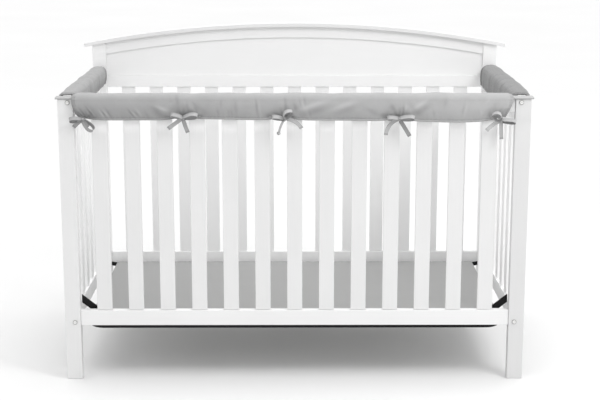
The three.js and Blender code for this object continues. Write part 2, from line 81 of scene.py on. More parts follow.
# Sizes of the covers. `minus` and `plus` are the flaps on the two sides of a rail, and `edges` gives the
# height of each flap's lower edge along the rail. A flap bulges, and is tucked in towards its lower edge, the
# minus one by `open` less. A side cover's `front_end` is the one at the front posts. There the top drops and
# runs on in a lip, the end is sheared by `skew`, and the plus flap is pinched in. At the other end the minus
# flap turns out like a trumpet. `end_curl` turns the edge of both ends in.
CLOTH = 0.004  # padded cloth, both faces and the filling
HEM = 0.0076  # from a lower edge to its line of stitches
END_HEM = 0.0095  # from an end to its line of stitches
HEM_ZONE = 0.016  # strip along an edge that is meshed more finely
END = "end side drawn_in power"
FOLD = "at side hang slant width reach depth"
FRONT_COVER = dict(
    low=-0.662, high=0.650, half_width=0.031, corner=0.018, top=0.8875, crown=0.0007, bulge=0.005,
    tuck=0.007, skew=0.0, drop=0.0, open=0.0, pinch=0.0, lip=0.0, trumpet=0.0, front_end=-1,
    end_curl=dict(top=0.0026, flap=0.0045, reach=0.016),
    # The cloth's painted shade and light: dark creases, darker end hems, lighter towards +X, darker
    # downwards.
    tone=dict(crease=0.0034, end=1.0, along=0.21, down=-0.10),
    ends=table(
        END,
        (-1, -1, 0.020, 1.8),
        (1, -1, 0.022, 1.1),
        (-1, 1, 0.042, 1.8),
        (1, 1, 0.042, 1.8),
    ),
    edges=table(
        "at minus plus",
        (-0.662, 0.816, 0.812),
        (-0.610, 0.811, 0.809),
        (-0.400, 0.811, 0.807),
        (-0.265, 0.814, 0.810),
        (-0.060, 0.811, 0.808),
        (0.110, 0.810, 0.807),
        (0.300, 0.808, 0.810),
        (0.480, 0.804, 0.808),
        (0.596, 0.806, 0.809),
        (0.650, 0.817, 0.812),
    ),
    folds=table(
        FOLD,
        (-0.608, -1, 0.55, 0.022, 0.011, 0.42, 0.004),
        (-0.562, -1, 0.60, 0.018, 0.010, 0.36, 0.003),
        (-0.368, -1, 0.60, -0.046, 0.013, 0.40, 0.003),
        (-0.282, -1, 0.50, 0.060, 0.014, 0.50, 0.003),
        (0.010, -1, 0.60, 0.040, 0.013, 0.45, 0.003),
        (0.278, -1, 0.60, -0.040, 0.013, 0.40, 0.003),
        (0.356, -1, 0.55, 0.050, 0.014, 0.45, 0.003),
        (0.585, -1, 0.60, -0.034, 0.012, 0.40, 0.004),
        (-0.480, 1, 0.60, 0.030, 0.014, 0.50, 0.003),
        (0.150, 1, 0.60, -0.030, 0.014, 0.50, 0.003),
    ),
)
SIDE_COVER = dict(
    bulge=0.002, skew=0.006, open=0.0, pinch=0.0, lip=0.007, trumpet=0.010,
    end_curl=dict(top=0.0016, flap=0.0010, reach=0.010),
    # Painted shade on the side covers: dark creases, darker end hems, darker downwards.
    tone=dict(crease=0.0070, end=1.7, along=0.0, down=-0.05),
    ties=[],
)
LEFT_COVER = dict(
    SIDE_COVER,
    low=0.046, high=0.722, half_width=0.027, corner=0.017, top=0.888, crown=0.0015, drop=0.003,
    tuck=0.004,
    # More painted shade downwards on the left cover.
    tone=dict(SIDE_COVER["tone"], down=-0.38),
    front_end=-1,
    ends=table(
        END,
        (-1, -1, 0.006, 2.3),
        (1, -1, 0.003, 2.3),
        (-1, 1, 0.006, 2.3),
        (1, 1, 0.006, 2.3),
    ),
    edges=table(
        "at minus plus",
        (0.046, 0.822, 0.820),
        (0.300, 0.825, 0.822),
        (0.722, 0.827, 0.824),
    ),
    folds=table(
        FOLD,
        (0.262, -1, 0.40, -0.018, 0.016, 0.60, 0.003),
        (0.478, -1, 0.45, 0.014, 0.018, 0.60, 0.003),
        (0.570, -1, 0.60, 0.010, 0.014, 0.50, 0.0025),
        (0.390, 1, 0.50, 0.016, 0.018, 0.60, 0.003),
    ),
)
RIGHT_COVER = dict(
    SIDE_COVER,
    low=-0.722, high=-0.046, half_width=0.031, corner=0.024, top=0.890, crown=0.006, drop=0.009,
    tuck=0.004, open=0.007, pinch=0.004, front_end=1,
    ends=table(
        END,
        (-1, -1, 0.0, 2.3),
        (1, -1, 0.006, 2.3),
        (-1, 1, 0.006, 2.3),
        (1, 1, 0.006, 2.3),
    ),
    edges=table(
        "at minus plus",
        (-0.722, 0.822, 0.822),
        (-0.420, 0.820, 0.823),
        (-0.120, 0.828, 0.822),
        (-0.046, 0.848, 0.824),
    ),
    folds=table(
        FOLD,
        (-0.417, -1, 0.40, 0.016, 0.018, 0.60, 0.003),
        (-0.610, -1, 0.50, -0.012, 0.016, 0.50, 0.0025),
        (-0.190, 1, 0.50, 0.014, 0.018, 0.60, 0.003),
    ),
)


def crease_table(side, *rows):
    """Finer creases in a cover's outer face, on one side of the rail.

    `down` is measured around the cloth from where the top turns down, `slope` is how far a crease runs along
    the rail for each metre down, and a negative depth is a ridge.
    """
    columns = "at down slope width length depth"
    return [dict(row, side=side) for row in table(columns, *rows)]


FRONT_COVER["creases"] = crease_table(
    -1,
    (-0.646, 0.068, 0.50, 0.0028, 0.010, 0.0014),
    (-0.640, 0.072, 0.30, 0.0026, 0.009, -0.0012),
    (-0.634, 0.074, 0.10, 0.0026, 0.010, 0.0016),
    (-0.628, 0.075, -0.10, 0.0024, 0.008, -0.0012),
    (-0.621, 0.076, -0.30, 0.0028, 0.009, 0.0014),
    (-0.612, 0.062, 0.48, 0.0034, 0.016, 0.0024),
    (-0.605, 0.063, 0.48, 0.0036, 0.016, -0.0012),
    (-0.577, 0.067, 0.23, 0.0036, 0.014, -0.0013),
    (-0.570, 0.066, 0.60, 0.0032, 0.013, 0.0019),
    (-0.561, 0.068, 0.55, 0.0034, 0.013, -0.0015),
    (-0.553, 0.068, 0.50, 0.0036, 0.012, 0.0012),
    (-0.486, 0.065, 0.67, 0.0036, 0.016, 0.0017),
    (-0.478, 0.067, 0.90, 0.0034, 0.013, -0.0014),
    (-0.471, 0.066, 0.85, 0.0034, 0.012, 0.0013),
    (-0.463, 0.062, 0.64, 0.0036, 0.013, -0.0012),
    (-0.440, 0.070, 0.50, 0.0050, 0.013, 0.0008),
    (-0.406, 0.064, 0.90, 0.0110, 0.024, 0.0017),
    (-0.391, 0.052, 2.40, 0.0060, 0.026, -0.0017),
    (-0.376, 0.080, 2.00, 0.0070, 0.016, 0.0028),
    (-0.348, 0.022, 0.10, 0.0060, 0.022, 0.0011),
    (-0.318, 0.046, 0.05, 0.0045, 0.014, 0.0011),
    (-0.292, 0.056, 0.40, 0.0050, 0.015, 0.0013),
    (-0.284, 0.078, -1.50, 0.0070, 0.015, 0.0028),
    (-0.228, 0.062, 0.15, 0.0032, 0.011, 0.0010),
    (-0.218, 0.034, 0.05, 0.0032, 0.010, 0.0009),
    (-0.196, 0.064, 0.10, 0.0034, 0.010, 0.0009),
    (-0.187, 0.063, 0.05, 0.0032, 0.010, 0.0009),
    (-0.175, 0.050, 0.05, 0.0050, 0.018, 0.0009),
    (-0.113, 0.047, 0.12, 0.0034, 0.024, 0.0014),
    (-0.105, 0.050, 0.12, 0.0036, 0.022, -0.0007),
    (-0.072, 0.079, 1.60, 0.0070, 0.015, 0.0028),
    (-0.028, 0.040, 0.02, 0.0045, 0.022, 0.0015),
    (0.001, 0.050, 0.20, 0.0042, 0.014, 0.0011),
    (0.016, 0.030, 0.20, 0.0036, 0.010, 0.0009),
    (0.022, 0.036, 0.40, 0.0038, 0.012, -0.0009),
    (0.029, 0.028, 0.15, 0.0036, 0.011, 0.0010),
    (0.045, 0.067, 0.05, 0.0032, 0.011, 0.0010),
    (0.050, 0.043, -3.00, 0.0065, 0.040, -0.0017),
    (0.062, 0.058, -3.00, 0.0095, 0.038, 0.0016),
    (0.146, 0.042, -2.80, 0.0065, 0.036, -0.0014),
    (0.152, 0.056, -2.80, 0.0090, 0.034, 0.0013),
    (0.228, 0.060, 1.80, 0.0080, 0.024, 0.0011),
    (0.270, 0.078, 1.60, 0.0070, 0.015, 0.0028),
    (0.290, 0.050, 0.50, 0.0060, 0.016, 0.0011),
    (0.322, 0.058, -0.05, 0.0034, 0.018, 0.0016),
    (0.329, 0.056, -0.05, 0.0034, 0.016, -0.0008),
    (0.366, 0.043, -1.50, 0.0060, 0.028, -0.0015),
    (0.376, 0.057, -1.50, 0.0085, 0.026, 0.0017),
    (0.413, 0.066, 0.10, 0.0038, 0.010, 0.0010),
    (0.446, 0.034, -0.20, 0.0065, 0.011, 0.0008),
    (0.501, 0.053, -0.10, 0.0036, 0.016, 0.0008),
    (0.508, 0.053, -0.10, 0.0034, 0.017, -0.0010),
    (0.557, 0.062, 0.40, 0.0040, 0.012, -0.0008),
    (0.572, 0.030, -0.40, 0.0042, 0.013, -0.0008),
    (0.598, 0.078, 1.20, 0.0065, 0.015, 0.0026),
    (0.640, 0.060, -0.60, 0.0045, 0.016, 0.0012),
) + crease_table(
    1,
    (-0.560, 0.060, 0.40, 0.0050, 0.018, 0.0014),
    (-0.500, 0.064, -0.50, 0.0045, 0.016, -0.0011),
    (-0.380, 0.070, 1.40, 0.0065, 0.018, 0.0020),
    (-0.285, 0.070, -1.30, 0.0065, 0.018, 0.0020),
    (-0.160, 0.052, 0.20, 0.0045, 0.020, 0.0012),
    (-0.085, 0.072, 1.20, 0.0065, 0.018, 0.0020),
    (0.080, 0.056, -0.40, 0.0050, 0.020, 0.0013),
    (0.205, 0.060, 0.30, 0.0045, 0.018, -0.0010),
    (0.265, 0.072, 1.20, 0.0065, 0.018, 0.0020),
    (0.420, 0.058, -0.20, 0.0050, 0.018, 0.0013),
    (0.520, 0.062, 0.50, 0.0048, 0.016, 0.0012),
)
LEFT_COVER["creases"] = crease_table(
    -1,
    (0.120, 0.040, 0.30, 0.0060, 0.018, 0.0008),
    (0.205, 0.050, -0.20, 0.0060, 0.020, -0.0007),
    (0.330, 0.046, 0.10, 0.0200, 0.028, 0.0026),
    (0.375, 0.040, 0.15, 0.0140, 0.030, -0.0009),
    (0.520, 0.046, 0.05, 0.0200, 0.028, 0.0024),
    (0.565, 0.046, 0.10, 0.0130, 0.028, -0.0008),
    (0.610, 0.058, 0.40, 0.0050, 0.016, 0.0011),
    (0.640, 0.056, -0.30, 0.0050, 0.016, -0.0010),
    (0.668, 0.058, -0.40, 0.0045, 0.014, 0.0011),
) + crease_table(
    1,
    (0.150, 0.045, -0.30, 0.0070, 0.020, 0.0014),
    (0.270, 0.042, 0.20, 0.0070, 0.022, -0.0010),
    (0.470, 0.048, 0.30, 0.0070, 0.020, 0.0014),
    (0.600, 0.044, -0.20, 0.0065, 0.020, 0.0012),
)
RIGHT_COVER["creases"] = crease_table(
    -1,
    (-0.110, 0.042, -0.30, 0.0090, 0.018, 0.0006),
    (-0.215, 0.046, 0.20, 0.0120, 0.024, 0.0008),
    (-0.250, 0.030, -0.60, 0.0090, 0.016, -0.0007),
    (-0.340, 0.046, 0.30, 0.0140, 0.024, 0.0009),
    (-0.470, 0.046, -0.10, 0.0100, 0.024, 0.0010),
    (-0.500, 0.042, -0.10, 0.0120, 0.026, -0.0007),
    (-0.580, 0.048, 0.20, 0.0140, 0.024, 0.0010),
    (-0.660, 0.050, -0.30, 0.0090, 0.018, 0.0008),
) + crease_table(
    1,
    (-0.150, 0.045, 0.30, 0.0070, 0.020, 0.0013),
    (-0.300, 0.044, -0.20, 0.0070, 0.022, -0.0010),
    (-0.420, 0.046, 0.10, 0.0070, 0.022, 0.0014),
    (-0.600, 0.044, -0.30, 0.0065, 0.020, 0.0012),
)

# Slow unevenness of a cover: waves along the rail that lean as they go down, by `lean` over WAVE_DROP.
WAVE_DROP = 0.09
WAVES = table(
    "length lean start height",
    (0.213, 0.9, 1.1, 0.0007),
    (0.131, -1.7, 0.4, 0.0005),
    (0.087, 3.1, 2.0, 0.0004),
    (0.041, -2.3, 0.7, 0.0002),
)
# Puckers along a line of stitches.
PUCKERS = table("length start height", (0.0132, 0.2, 0.00035), (0.0087, 1.9, 0.00025), (0.0211, 0.8, 0.0003))
PUCKER_REACH = 0.007
SEAM = dict(dip=0.0011, width=0.0013)  # the groove that the stitches pull
HEM_ROLL = dict(height=0.0013, place=0.0042, width=0.0021)  # a lower edge's turned cloth stands out as a roll
END_STEP = dict(height=0.0017, slope=0.0011)  # the padding stops at an end's stitches
# A trumpet's darker rim is painted shade on its inner face.
FLARE = dict(reach=0.030, power=1.5, dark=0.60)  # a trumpet's depth, how it opens, and its darker rim
END_POWER = 12  # how close to an end its own shape stays
STITCH = dict(length=0.0030, pitch=0.0042, radius=0.00035, sides=6)
STITCH_LINE = dict(from_end=0.006, last=0.96, flap=0.095)  # `last` is a share of the flap, from the top down
MESH = dict(down=0.0028, lower_edge=0.81, front_along=0.0029, side_along=0.0030)  # the covers' mesh steps

# Painted shade and light on the cloth, as a share about 0.5: painted shade at a lower edge, where it is
# creased in and along the stitches, and painted highlight on ridges and on the roll of a lower hem. `place`
# is measured from the edge or end. A cover's `tone` gives the depth of a crease that is nearly as dark as
# any, how much darker its ends' hems are painted, and a slow drift along and down it, painted lighter towards
# +X by `along` and darker downwards by `down`. The drift along it grows from its least share to the whole,
# `full` below the top.
PAINTED_LIGHT_DRIFT = dict(full=0.05, least=0.2)
HEM_PAINTED_LIGHT_AND_SHADE = table("place width tone", (0.0, 0.0020, -0.28), (0.0043, 0.0017, 0.24), (0.0078, 0.0012, -0.30))
END_PAINTED_SHADE = table("place width tone", (0.0030, 0.0050, -0.20), (0.0095, 0.0012, -0.24))

# The ties, from left to right. Angles are in degrees in the front view, from +X towards +Z. A loop's roll is
# 0 where the ribbon's face is seen and 90 where the ring is, and a negative roll brings the other strand
# forward. A loop's middle stands forward by its bow. A tail turns by `bend` along its length, and `knot` is
# the radius of a small knot at its tip. A higher tone is lighter: a tone above 0 is painted light on that
# loop or tail, and one below 0 is painted shade. A tie draws the cloth in by `pull` and up by `lift`, and
# goes back under the rail at `strap`. `gathers` fan out above the knot, their angle measured from straight
# up.
RIBBON = dict(width=0.012, thickness=0.0014, cup=0.0014, waist=0.58, gather=0.012, end_hem=0.0035, sides=18)
# The ribbons' plain tone, and the width of the band of painted shade at a hemmed tip.
RIBBON_TONE = dict(plain=0.60, tip_width=0.0016)
# Painted shade on the ribbons: darker edges, loop insides, waist by the knot and hemmed tip.
RIBBON_PAINTED_SHADE = dict(edge=0.42, inner=0.60, waist=0.22, tip=0.42)  # how much darker than plain ribbon
SELVAGE = dict(place=0.8, width=0.12, bead=0.35, flat=0.8)  # across half a ribbon, and of its thickness
# A knot is painted darker than plain cloth, with painted shade in its pleats' hollows and highlight on their
# crests.
KNOT = dict(
    radius=0.0065, squash=(1.0, 0.8, 0.95), pleats=5, pleat_depth=0.09, twist=1.4, tone=0.45, pleat_tone=0.3
)
KNOT_DEPTH = -0.013  # the knots' middles, from the front posts' front face back
TIE_PULL = dict(spread=0.036, power=2.0)
LOOP = "angle length belly roll lean bow tone"
TAIL = "angle bend length roll lean tone knot"
GATHER = "angle depth"
GATHER_FAN = dict(width=0.0022, spread=0.10, peak=0.016, fade=0.020)
TIES = [
    dict(
        x=-0.630, z=0.814, strap=-0.636, lift=0.001, pull=0.0105,
        loops=table(LOOP, (178, 0.038, 0.008, -36, 20, 0, -0.2), (-44, 0.045, 0.0105, -30, 14, 0, -0.3)),
        tails=table(TAIL, (212, 18, 0.035, 0, 2, -0.35, 0), (-56, 4, 0.028, 10, -4, -0.20, 0)),
        gathers=table(GATHER, (-46, 0.0014), (-16, 0.0018), (12, 0.0015), (44, 0.0019), (70, 0.0012)),
    ),
    dict(
        x=-0.332, z=0.819, strap=-0.339, lift=0.005, pull=0.0115,
        loops=table(LOOP, (157, 0.041, 0.007, -28, 33, 0, -0.1), (14, 0.048, 0.009, 40, 22, 0, -0.05)),
        tails=table(TAIL, (214, 3, 0.054, 8, 5, -0.15, 0), (-74, 6, 0.046, 0, 4, -0.30, 0)),
        gathers=table(GATHER, (-64, 0.0016), (-24, 0.0013), (6, 0.0016), (34, 0.0012), (66, 0.0017)),
    ),
    dict(
        x=-0.031, z=0.816, strap=-0.034, lift=0.005, pull=0.010,
        loops=table(LOOP, (167, 0.037, 0.007, -26, 20, 0, -0.05), (57, 0.040, 0.011, 52, 36, 0, 0)),
        tails=table(TAIL, (236, 26, 0.0465, 58, 4, 0.0, 0.0060), (2, -62, 0.062, 24, 8, -0.10, 0)),
        gathers=table(GATHER, (-58, 0.0015), (-20, 0.0016), (14, 0.0013), (40, 0.0016), (68, 0.0014)),
    ),
    dict(
        x=0.310, z=0.816, strap=0.324, lift=0.005, pull=0.0108,
        loops=table(LOOP, (170, 0.039, 0.007, -24, 28, 0, -0.1), (9, 0.049, 0.008, 38, 27, 0, 0)),
        tails=table(TAIL, (196, 70, 0.066, 10, 8, -0.10, 0), (-56, -4, 0.061, 6, 4, -0.50, 0)),
        gathers=table(GATHER, (-62, 0.0016), (-28, 0.0011), (4, 0.0018), (36, 0.0012), (63, 0.0016)),
    ),
    dict(
        x=0.613, z=0.811, strap=0.617, lift=0.004, pull=0.009,
        loops=table(LOOP, (134, 0.034, 0.0110, -62, 22, 0.010, 0), (-5, 0.043, 0.005, 42, 8, 0, 0)),
        tails=table(TAIL, (200, 30, 0.053, 4, 6, 0.20, 0), (-88, 1, 0.056, 10, 2, -0.15, 0)),
        gathers=table(GATHER, (-60, 0.0015), (-22, 0.0013), (10, 0.0015), (38, 0.0014)),
    ),
]
FRONT_COVER["ties"] = TIES


# Materials.
def material_named(name):
    material = bpy.data.materials.new(name)
    material.use_nodes = True
    return material


def node(material, kind, inputs=None, **settings):
    """A new shader node. An input is a number or colour, or the socket that feeds it."""
    made = material.node_tree.nodes.new("ShaderNode" + kind)
    for key, value in settings.items():
        setattr(made, key, value)
    fill(material, made, inputs or {})
    return made


def fill(material, made, inputs):
    for socket, value in inputs.items():
        if isinstance(value, bpy.types.NodeSocket):
            material.node_tree.links.new(value, made.inputs[socket])
        else:
            made.inputs[socket].default_value = value


def noise(material, place, scale, detail=4.0):
    inputs = {"Vector": place, "Scale": scale, "Detail": detail}
    return node(material, "TexNoise", inputs).outputs["Fac"]


def maths(material, operation, first, second):
    return node(material, "Math", {0: first, 1: second}, operation=operation).outputs[0]


def weighted(material, first, weight, second, other_weight):
    """The sum of two numbers, each times its weight."""
    one = maths(material, "MULTIPLY", first, weight)
    return maths(material, "ADD", one, maths(material, "MULTIPLY", second, other_weight))


def rising(material, value, low, high, **settings):
    """A number that goes from 0 to 1 as `value` goes from `low` to `high`."""
    inputs = {"Value": value, "From Min": low, "From Max": high}
    return node(material, "MapRange", inputs, **settings).outputs["Result"]


def between(material, fac, low, high):
    """A number from `low` to `high` as `fac` goes over the middle of a noise."""
    inputs = {"Value": fac, "From Min": 0.3, "From Max": 0.7, "To Min": low, "To Max": high}
    return node(material, "MapRange", inputs).outputs["Result"]


def ramp(material, fac, stops):
    """A colour that runs through the stops, each a place and a colour."""
    made = node(material, "ValToRGB", {"Fac": fac})
    elements = made.color_ramp.elements
    while len(elements) < len(stops):
        elements.new(0.5)
    for element, (place, colour) in zip(elements, stops):
        element.position = place
        element.color = (*colour, 1)
    return made.outputs["Color"]


def shade(material, fac, dark, light):
    """A colour from `dark` to `light` over the middle of a noise."""
    return ramp(material, fac, [(0.3, dark), (0.7, light)])


def layered(material, tone, change, colours):
    """A colour between the first two by a noise, and between the last two where `change` is 1."""
    layer = weighted(material, tone, 0.5, change, 0.5)
    return ramp(material, layer, list(zip((0.15, 0.35, 0.65, 0.85), colours)))


def bump(material, height, distance, normal=None):
    inputs = {"Height": height, "Distance": distance, "Strength": 1.0}
    if normal is not None:
        inputs["Normal"] = normal
    return node(material, "Bump", inputs).outputs["Normal"]


def finish_surface(material, **sockets):
    """The material with its shader's sockets filled. An underscore in a name stands for a space."""
    shader = material.node_tree.nodes["Principled BSDF"]
    fill(material, shader, {name.replace("_", " "): value for name, value in sockets.items()})
    return material


# Painted shade in the deepest creases and painted highlight on the highest ridges, as shares of plain cloth.
PAINTED_CREASE_SHADE = 0.66  # the darkest crease, as a share of plain cloth
PAINTED_RIDGE_HIGHLIGHT = 1.24


def grey(value):
    """The cloth's grey, with a trace of blue."""
    return (value, value, value * 1.005)


def cloth_material(name, dark, light, pitch, bump_depth):
    """Brushed cotton: threads both ways in the cloth's own coordinates, mottling, fuzz, painted shade and
    light.
    """
    material = material_named(name)
    coordinates = node(material, "TexCoord").outputs
    split = node(material, "SeparateXYZ", {"Vector": coordinates["UV"]}).outputs
    wobble = noise(material, coordinates["UV"], 90.0)
    threads = []
    for axis in "XY":
        turns = weighted(material, split[axis], 2 * math.pi / pitch, wobble, 5.0)
        threads.append(maths(material, "SINE", turns, 0.0))
    weave = maths(material, "MULTIPLY", threads[0], threads[1])
    fuzz = noise(material, coordinates["Object"], 900.0, 3.0)
    mottle = noise(material, coordinates["Object"], 26.0)
    grain = weighted(material, fuzz, 0.55, mottle, 0.45)
    # The fold attribute is painted shade in creases, along stitches and in hollows, and painted highlight on
    # ridges.
    fold = node(material, "Attribute", attribute_name="fold").outputs["Fac"]
    tone = maths(material, "ADD", fold, between(material, grain, -0.08, 0.08))
    relief = weighted(material, weave, 0.35, fuzz, 1.0)
    stops = [(0.0, dark * PAINTED_CREASE_SHADE), (0.42, dark), (0.58, light), (1.0, light * PAINTED_RIDGE_HIGHLIGHT)]
    return finish_surface(
        material,
        Base_Color=ramp(material, tone, [(place, grey(value)) for place, value in stops]),
        Roughness=between(material, fuzz, 0.86, 0.96),
        Normal=bump(material, relief, bump_depth),
        Specular_IOR_Level=0.25,
        Sheen_Weight=0.22,
        Sheen_Roughness=0.45,
    )


# How white the paint is on the nodes whose name starts so, and the share of that on the faces that look
# outward, or else at the top of the node, where the cover shades it. The first row that fits holds. These are
# lit and shaded copies of one white paint: painted shade greys the front cap and the right front post,
# painted light whitens the bottom rail, the headboard, the back nodes and the end panels' inner faces, with
# their outward faces back near the plain white, and the front slats' tops where the cover shades them.
PAINT_OUTWARD = dict(low=0.2, high=0.8)  # along `outward`
PAINTED_LIGHT_TOP = dict(low=0.870, high=0.962)  # of the node's height
PAINTS_LIT_AND_SHADED = table(
    "start dark light share outward",
    ("front_cap", 0.415, 0.450, 1.0, None),
    ("front_bottom", 0.79, 0.825, 1.0, None),
    ("post_front_right", 0.66, 0.69, 1.0, None),
    ("front_slat", 0.725, 0.758, 1.28, None),
    ("headboard_moulding", 0.79, 0.82, 0.92, (0, 1, 0)),
    ("headboard", 0.91, 0.935, 0.80, (0, 1, 0)),
    ("post_back_left", 0.91, 0.935, 0.80, (-1, 1, 0)),
    ("post_back_right", 0.91, 0.935, 0.80, (1, 1, 0)),
    ("back", 0.88, 0.905, 0.82, (0, 1, 0)),
    ("end_panel_left", 0.95, 0.97, 0.76, (-1, 0, 0)),
    ("end_panel_right", 0.95, 0.97, 0.76, (1, 0, 0)),
    ("", 0.735, 0.768, 1.0, None),
)


def paint_for(name):
    """The paint of one of the crib's nodes, with the grain along the node."""
    axis = "Z" if name.startswith("end_panel") else grain_axis(name)
    row = next(row for row in PAINTS_LIT_AND_SHADED if name.startswith(row["start"]))
    known = "_".join(filter(None, [row["start"], "white_paint", axis.lower()]))
    return bpy.data.materials.get(known) or paint_material(known, axis, row)


def paint_material(name, axis, row):
    """White satin paint on wood with the grain along one axis faint under it, and painted light and shade."""
    material = material_named(name)
    coordinates = node(material, "TexCoord").outputs
    place = coordinates["Object"]
    stretch = [240.0, 240.0, 240.0]
    stretch["XYZ".index(axis)] = 9.0
    stretched = node(material, "Mapping", {"Vector": place, "Scale": stretch}).outputs["Vector"]
    grain = noise(material, stretched, 1.0, 3.0)
    peel = noise(material, place, 420.0, 2.0)
    cloud = noise(material, place, 5.0, 3.0)
    tone = weighted(material, cloud, 0.7, grain, 0.3)
    # Painted light and shade: the row's share of its white on faces that look outward, or at the node's top.
    if row["outward"]:
        both = {0: coordinates["Normal"], 1: row["outward"]}
        value = node(material, "VectorMath", both, operation="DOT_PRODUCT").outputs["Value"]
        ends = PAINT_OUTWARD
    else:
        value = node(material, "SeparateXYZ", {"Vector": coordinates["Generated"]}).outputs["Z"]
        ends = PAINTED_LIGHT_TOP
    change = rising(material, value, **ends, interpolation_type="SMOOTHSTEP")
    whites = [row["dark"], row["light"], row["dark"] * row["share"], row["light"] * row["share"]]
    return finish_surface(
        material,
        Base_Color=layered(material, tone, change, [(white,) * 3 for white in whites]),
        Roughness=between(material, cloud, 0.36, 0.46),
        Normal=bump(material, peel, 0.00006, bump(material, grain, 0.00010)),
        Specular_IOR_Level=0.4,
    )


def steel_material():
    """Black powder coat, with its fine pimpled skin and rubbed patches."""
    material = material_named("black_powder_coat")
    place = node(material, "TexCoord").outputs["Object"]
    pimples = noise(material, place, 900.0, 2.0)
    rubs = noise(material, place, 14.0, 5.0)
    return finish_surface(
        material,
        Base_Color=shade(material, rubs, (0.0045, 0.0045, 0.005), (0.009, 0.009, 0.0095)),
        Roughness=between(material, rubs, 0.50, 0.66),
        Normal=bump(material, pimples, 0.00012),
        Specular_IOR_Level=0.25,
    )


def board_material():
    """A board with matt grey laminate and a white underside, with a fine speckle and faint wipe marks."""
    material = material_named("grey_laminate")
    coordinates = node(material, "TexCoord").outputs
    place = coordinates["Object"]
    speckle = noise(material, place, 700.0, 2.0)
    stretched = node(material, "Mapping", {"Vector": place, "Scale": (2.0, 18.0, 18.0)}).outputs["Vector"]
    wipes = noise(material, stretched, 1.0, 4.0)
    tone = weighted(material, wipes, 0.6, speckle, 0.4)
    facing = node(material, "SeparateXYZ", {"Vector": coordinates["Normal"]}).outputs["Z"]
    under = rising(material, facing, -0.5, -0.6)
    greys = [(0.345, 0.345, 0.343), (0.385, 0.385, 0.383)]
    whites = [(0.86, 0.86, 0.85), (0.90, 0.90, 0.89)]
    return finish_surface(
        material,
        Base_Color=layered(material, tone, under, greys + whites),
        Roughness=between(material, wipes, 0.55, 0.70),
        Normal=bump(material, speckle, 0.00005),
        Specular_IOR_Level=0.3,
    )


def bolt_material():
    """A pale capped head with a darker rim of painted shade, by the distance from its axis."""
    material = material_named("capped_bolt")
    coordinates = node(material, "TexCoord").outputs
    radius = node(material, "SeparateXYZ", {"Vector": coordinates["UV"]}).outputs["X"]
    # The darker rim is painted shade, standing in for the shadow in the gap round the head.
    rim = rising(material, radius, 0.0048, 0.0056)
    smudge = noise(material, coordinates["Object"], 420.0, 3.0)
    tone = weighted(material, rim, 1.0, smudge, 0.25)
    return finish_surface(
        material,
        Base_Color=shade(material, tone, (0.80, 0.80, 0.79), (0.34, 0.34, 0.33)),
        Roughness=between(material, smudge, 0.28, 0.42),
        Normal=bump(material, smudge, 0.00003),
        Specular_IOR_Level=0.5,
    )


def floor_material():
    material = material_named("pale_floor")
    place = node(material, "TexCoord").outputs["Object"]
    return finish_surface(
        material,
        Base_Color=shade(material, noise(material, place, 0.6), (0.76, 0.76, 0.76), (0.78, 0.78, 0.78)),
        Roughness=0.7,
        Specular_IOR_Level=0.2,
    )


COVER_CLOTH = cloth_material("grey_cover_cloth", 0.36, 0.42, 0.0011, 0.00022)
# Painted shade: the side covers are the front cover's grey in darker copies, the right one much darker.
LEFT_SHADED_CLOTH = cloth_material("grey_left_cloth", 0.32, 0.37, 0.0011, 0.00022)
RIGHT_SHADED_CLOTH = cloth_material("grey_right_cloth", 0.223, 0.259, 0.0011, 0.00022)
RIBBON_CLOTH = cloth_material("grey_ribbon_cloth", 0.40, 0.465, 0.0009, 0.00016)
THREAD = cloth_material("grey_thread", 0.42, 0.50, 0.0006, 0.00008)
STEEL = steel_material()
BOARD_LAMINATE = board_material()
CAPPED_BOLT = bolt_material()


# Meshes.
def tube(count, size):
    """The faces between `count` rings of `size` points each."""
    place = np.arange(size)
    after = np.roll(place, -1)
    start = np.arange(count - 1)[:, None] * size
    corners = [start + place, start + after, start + size + after, start + size + place]
    return np.stack(corners, axis=-1).reshape(-1, 4)


def loft(rings):
    """Points and faces of a closed skin through equal rings.

    The second half of a ring runs back along its first.
    """
    count, size = rings.shape[:2]
    rung = np.arange(size // 2 - 1)
    other = size - 1 - rung
    ladder = np.stack([rung, other, other - 1, rung + 1], axis=-1)
    last = (count - 1) * size + ladder[:, ::-1]
    return rings.reshape(-1, 3), np.concatenate([tube(count, size), ladder, last])


def facing_out(points, faces):
    a, b, c, d = (points[faces[:, corner]] for corner in range(4))
    volume = (a * np.cross(b, c)).sum() + (a * np.cross(c, d)).sum()
    return faces if volume > 0 else faces[:, ::-1]


def joined(parts):
    """Several (points, faces, uv, fold) as one."""
    rows, used = [], 0
    for points, faces, uv, fold in parts:
        rows.append((points, facing_out(points, faces) + used, uv, np.broadcast_to(fold, len(points))))
        used += len(points)
    return [np.concatenate(column) for column in zip(*rows)]


def add_object(name, data):
    made = bpy.data.objects.new(name, data)
    bpy.context.scene.collection.objects.link(made)
    return made


def piece(name, parts, material, replaced=()):
    """A mesh that rides on the part, from (points, faces, uv, fold) parts. A fold below 0.5 paints shade,
    above it light.
    """
    points, faces, uv, fold = joined(parts)
    mesh = bpy.data.meshes.new(name)
    mesh.from_pydata(points.tolist(), [], faces.tolist())
    layer = mesh.uv_layers.new(name="Cloth")
    layer.uv.foreach_set("vector", uv[faces.ravel()].astype(np.float32).ravel())
    marks = mesh.attributes.new("fold", "FLOAT", "POINT")
    marks.data.foreach_set("value", fold.astype(np.float32))
    mesh.materials.append(material)
    mesh.shade_smooth()
    made = add_object(name, mesh)
    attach(made, BODY)
    if replaced:
        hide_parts(*replaced)
    return made


